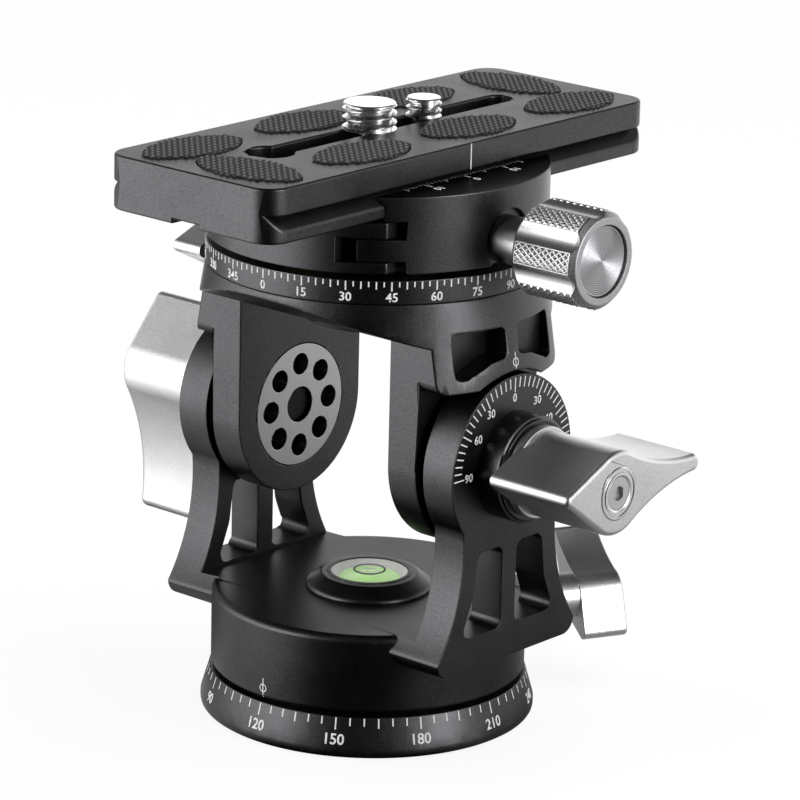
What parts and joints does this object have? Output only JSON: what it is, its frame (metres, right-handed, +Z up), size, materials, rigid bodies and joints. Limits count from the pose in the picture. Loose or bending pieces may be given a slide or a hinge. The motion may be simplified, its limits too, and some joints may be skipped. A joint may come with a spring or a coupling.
{
  "type": "pan and tilt tripod head",
  "caption": "Tripod head with a panning base, tilting yoke between two arms, wing lock knobs, and a panning screw clamp that holds a slotted quick-release plate.",
  "frame": {"origin": "centre of the underside of the base, on the pan axis, at the mouth of the tripod thread", "axes": "+Z up along the pan axis, X along the tilt axis with the clamp knob on +X, Y along the plate"},
  "size_m": [0.111, 0.1, 0.1113],
  "materials": {
    "anodised": "fine bead-blasted black anodising",
    "collar": "turned black anodising",
    "satin_silver": "satin bead-blasted silver",
    "bright_silver": "bright turned silver",
    "steel": "plain turned steel",
    "bronze": "plain bearing bronze",
    "rubber": "moulded black rubber with small studs",
    "vial": "clear cap over green liquid"
  },
  "bodies": {
    "base": {"base_dial": "anodised", "pan_post": "steel", "pan_washer": "bronze", "pan_retainer": "steel", "post_screw": "steel"},
    "pan_body": {"fork": "anodised", "pan_bush": "bronze", "level_boss": "anodised", "level_vial": "vial", "tilt_bush_r": "bronze", "tilt_bush_l": "bronze", "tilt_collar_r": "collar", "tilt_collar_l": "collar", "pan_collar": "collar"},
    "pan_lock": {"pan_knob": "satin_silver", "pan_stem": "steel", "pan_brake": "bronze"},
    "tilt_lock": {"tilt_knob": "satin_silver", "tilt_stem": "steel", "tilt_cap": "satin_silver", "tilt_cap_screw": "steel"},
    "drag_lock": {"drag_knob": "satin_silver", "drag_stem": "steel", "drag_cap": "satin_silver", "drag_cap_screw": "steel"},
    "yoke": {"yoke": "anodised", "tilt_axle_r": "satin_silver", "tilt_axle_l": "satin_silver", "azimuth_ring": "anodised", "top_bush": "bronze", "top_washer": "bronze", "top_collar": "collar"},
    "top_lock": {"top_knob": "satin_silver", "top_stem": "steel", "top_brake": "bronze"},
    "clamp": {"clamp_body": "anodised", "top_post": "steel", "top_retainer": "steel", "clamp_bolt": "steel", "guide_pin_1": "steel", "guide_pin_2": "steel"},
    "jaw": {"clamp_jaw": "anodised"},
    "grip": {"clamp_grip": "bright_silver", "clamp_screw": "steel", "grip_cap": "bright_silver"},
    "plate": {"plate": "anodised", "pad_1": "rubber", "pad_2": "rubber", "pad_3": "rubber", "pad_4": "rubber", "pad_5": "rubber", "pad_6": "rubber", "pad_7": "rubber", "pad_8": "rubber"},
    "shoe_38": {"head_washer_38": "steel"},
    "screw_38": {"stud_38": "bright_silver"},
    "shoe_14": {"head_washer_14": "steel"},
    "screw_14": {"stud_14": "bright_silver"}
  },
  "joints": [
    {"name": "pan", "type": "hinge", "parent": "base", "child": "pan_body", "pos_m": [0, 0, 0.012], "axis": [0, 0, 1], "continuous": true},
    {"name": "tilt", "type": "hinge", "parent": "pan_body", "child": "yoke", "pos_m": [0, 0, 0.0518], "axis": [1, 0, 0], "range_deg": [-70, 90]},
    {"name": "top_pan", "type": "hinge", "parent": "yoke", "child": "clamp", "pos_m": [0, 0, 0.084], "axis": [0, 0, 1], "continuous": true},
    {"name": "pan_lock_turn", "type": "hinge", "parent": "pan_body", "child": "pan_lock", "pos_m": [0.01797, 0.03685, 0.0154], "axis": [0.4384, 0.8988, 0], "range_deg": [-60, 60]},
    {"name": "tilt_lock_turn", "type": "hinge", "parent": "pan_body", "child": "tilt_lock", "pos_m": [0.045, 0, 0.0518], "axis": [1, 0, 0], "range_deg": [-60, 60]},
    {"name": "drag_turn", "type": "hinge", "parent": "pan_body", "child": "drag_lock", "pos_m": [-0.045, 0, 0.0518], "axis": [-1, 0, 0], "range_deg": [-40, 40]},
    {"name": "top_lock_turn", "type": "hinge", "parent": "yoke", "child": "top_lock", "pos_m": [-0.037, 0, 0.07815], "axis": [-1, 0, 0], "range_deg": [-40, 40]},
    {"name": "jaw_slide", "type": "slide", "parent": "clamp", "child": "jaw", "axis": [1, 0, 0], "range_m": [0, 0.005]},
    {"name": "grip_turn", "type": "hinge", "parent": "jaw", "child": "grip", "pos_m": [0.04, 0, 0.0914], "axis": [1, 0, 0], "range_deg": [0, 1441]},
    {"name": "plate_slide", "type": "slide", "parent": "clamp", "child": "plate", "axis": [0, 1, 0], "range_m": [-0.02, 0.02]},
    {"name": "screw_38_slide", "type": "slide", "parent": "plate", "child": "shoe_38", "axis": [0, 1, 0], "range_m": [-0.018, 0]},
    {"name": "screw_38_turn", "type": "hinge", "parent": "shoe_38", "child": "screw_38", "pos_m": [0.00146, -0.0043, 0.105], "axis": [0, 0, 1], "continuous": true},
    {"name": "screw_14_slide", "type": "slide", "parent": "plate", "child": "shoe_14", "axis": [0, 1, 0], "range_m": [0, 0.018]},
    {"name": "screw_14_turn", "type": "hinge", "parent": "shoe_14", "child": "screw_14", "pos_m": [0.00146, 0.01, 0.105], "axis": [0, 0, 1], "continuous": true}
  ],
  "couplings": [
    {"joint": "grip_turn", "follows": "jaw_slide", "rad_per_m": 5026.5}
  ]
}
